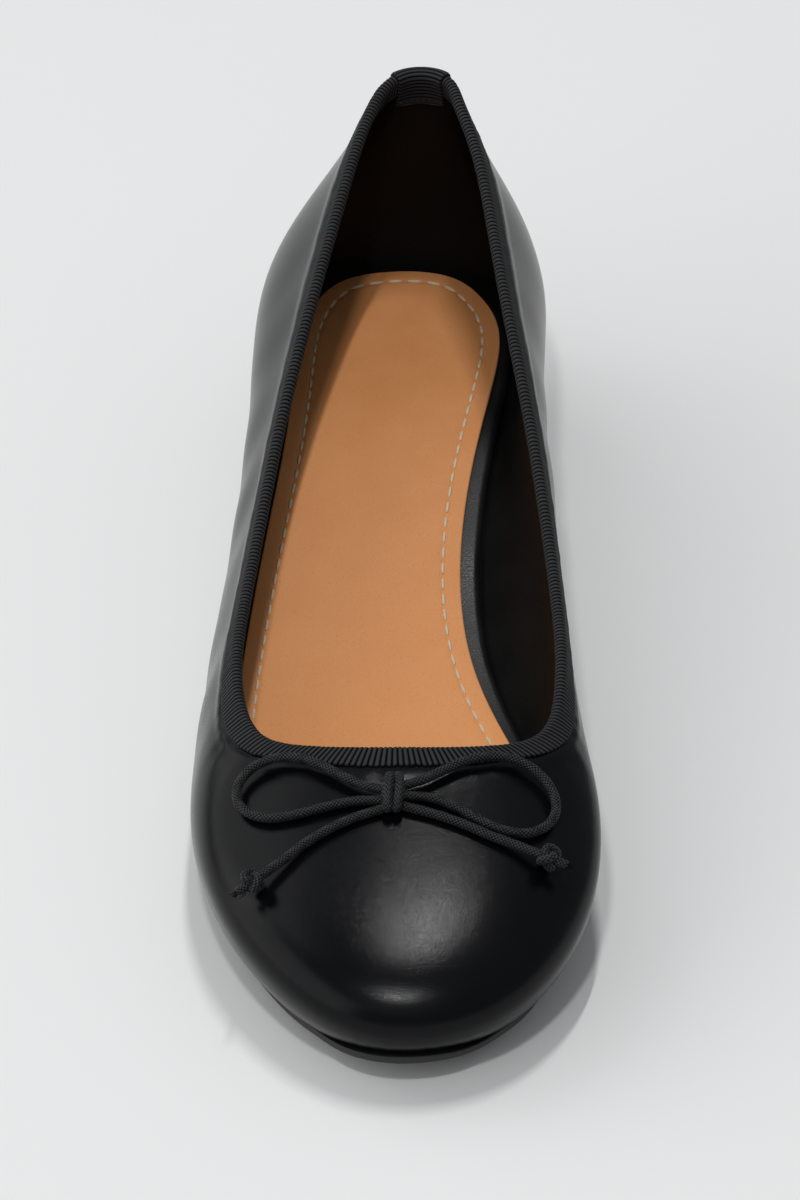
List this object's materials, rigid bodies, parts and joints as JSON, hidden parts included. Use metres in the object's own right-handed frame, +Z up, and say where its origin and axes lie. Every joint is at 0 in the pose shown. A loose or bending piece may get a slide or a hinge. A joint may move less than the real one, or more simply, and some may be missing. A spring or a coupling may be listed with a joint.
{
  "type": "ballet flat",
  "caption": "Round-toe women's ballet flat for the right foot, with a ribbon-bound collar, a cord bow on the vamp and a low block heel.",
  "frame": {"origin": "on the floor, under the middle of the heel", "axes": "+Z up, the toe points to -Y and the heel to +Y, +X is the inner side of the foot"},
  "size_m": [0.0845, 0.2545, 0.0764],
  "materials": {
    "black_leather": "smooth black leather with a very fine grain and a satin gloss",
    "black_ribbon": "black grosgrain ribbon, ribbed across",
    "black_rubber": "matt black rubber",
    "heel_leather": "black leather cover",
    "insole_wrap": "black leather wrap",
    "tan_leather": "tan leather with an off-white stitched line near its edge",
    "black_cord": "round black woven cord"
  },
  "bodies": {
    "root": {"upper": "black_leather", "topline_binding": "black_ribbon", "heel_tab": "black_ribbon", "outsole": "black_rubber", "heel_block": "heel_leather", "heel_top_piece": "black_rubber", "insole": "insole_wrap", "sock": "tan_leather", "bow_knot": "black_cord", "bow_loop_outer": "black_cord", "bow_loop_inner": "black_cord", "bow_tail_outer": "black_cord", "bow_tail_inner": "black_cord", "bow_tail_knot_outer": "black_cord", "bow_tail_knot_inner": "black_cord"}
  },
  "joints": []
}
